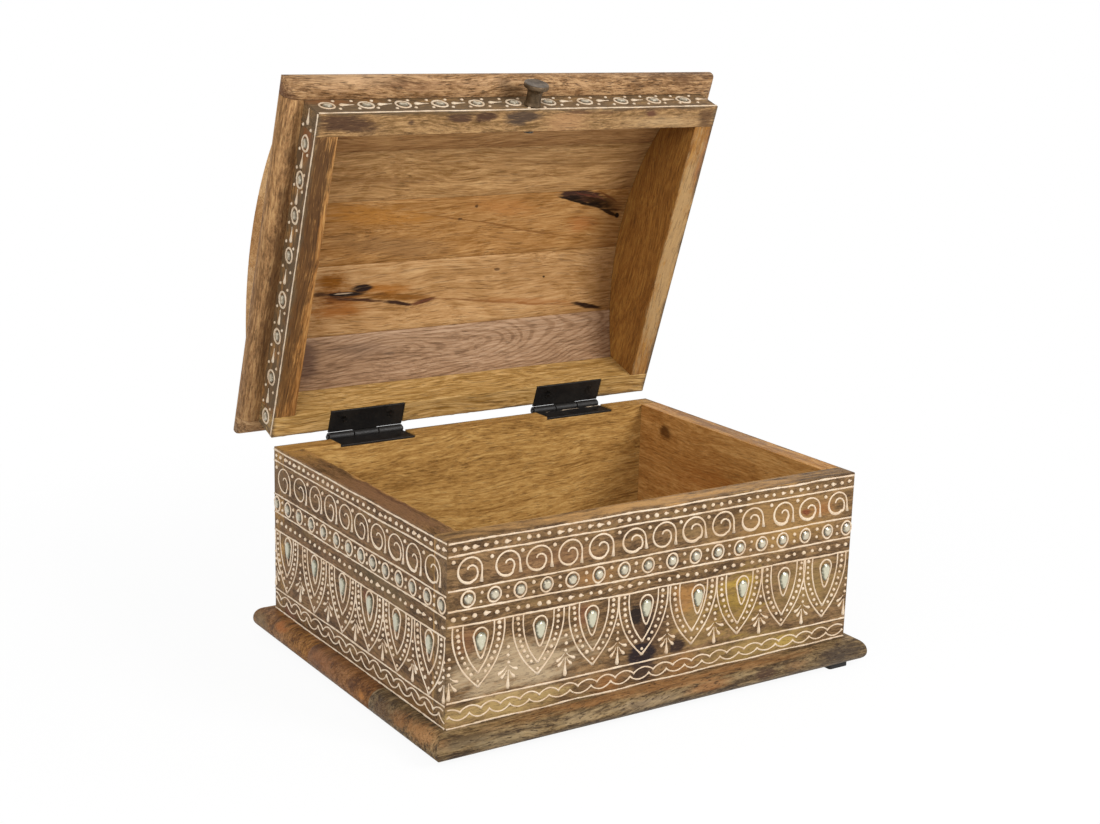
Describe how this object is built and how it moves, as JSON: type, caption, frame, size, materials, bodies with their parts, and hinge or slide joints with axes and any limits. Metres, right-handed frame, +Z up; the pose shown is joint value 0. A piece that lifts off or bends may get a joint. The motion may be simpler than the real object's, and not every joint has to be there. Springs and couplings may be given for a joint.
{
  "type": "jewellery box",
  "caption": "Wooden jewellery box with a hinged vaulted lid, moulded base and cornice, white raised ornament with inset stones and a turned brass knob.",
  "frame": {"origin": "middle of the base's underside, between the feet", "axes": "+Z up, +X along the front to the right, +Y towards the hinges"},
  "size_m": [0.27, 0.2344, 0.3088],
  "materials": {
    "wall_wood": "stained and waxed mango wood",
    "base_wood": "stained and waxed mango wood",
    "rim_wood": "stained and waxed mango wood",
    "cornice_wood": "stained and waxed mango wood",
    "stave_wood": "oiled mango wood",
    "black_iron": "black painted iron",
    "aged_brass": "dark aged brass",
    "stone": "silver-backed glass stones",
    "steel": "bright steel",
    "rubber": "black rubber",
    "white_paste": "cream raised paste lines and dots"
  },
  "bodies": {
    "box": {"base_board_1": "base_wood", "base_board_2": "base_wood", "base_board_3": "base_wood", "base_screws": "steel", "drop_stones_back": "stone", "drop_stones_front": "stone", "drop_stones_left": "stone", "drop_stones_right": "stone", "foot_back_left": "rubber", "foot_back_right": "rubber", "foot_front_left": "rubber", "foot_front_right": "rubber", "hinge_box_leaf_left": "black_iron", "hinge_box_leaf_right": "black_iron", "hinge_box_screws": "black_iron", "hinge_pin_left": "black_iron", "hinge_pin_right": "black_iron", "round_stones_back": "stone", "round_stones_front": "stone", "round_stones_left": "stone", "round_stones_right": "stone", "wall_back": "wall_wood", "wall_front": "wall_wood", "wall_left": "wall_wood", "wall_nails": "steel", "wall_right": "wall_wood"},
    "lid": {"cornice_back": "cornice_wood", "cornice_front": "cornice_wood", "cornice_left": "cornice_wood", "cornice_right": "cornice_wood", "hinge_lid_leaf_left": "black_iron", "hinge_lid_leaf_right": "black_iron", "hinge_lid_screws": "black_iron", "knob": "aged_brass", "knob_screw": "steel", "lid_end_left": "rim_wood", "lid_end_right": "rim_wood", "lid_rail_back": "rim_wood", "lid_rail_front": "rim_wood", "oval_stones_back": "stone", "oval_stones_front": "stone", "oval_stones_left": "stone", "oval_stones_right": "stone", "rail_nails": "steel", "stave_1": "stave_wood", "stave_2": "stave_wood", "stave_3": "stave_wood", "stave_4": "stave_wood", "stave_5": "stave_wood"}
  },
  "joints": [
    {"name": "lid_hinge", "type": "hinge", "parent": "box", "child": "lid", "pos_m": [0, 0.0985, 0.1049], "axis": [-1, 0, 0], "range_deg": [-71.3, 96.7]}
  ]
}
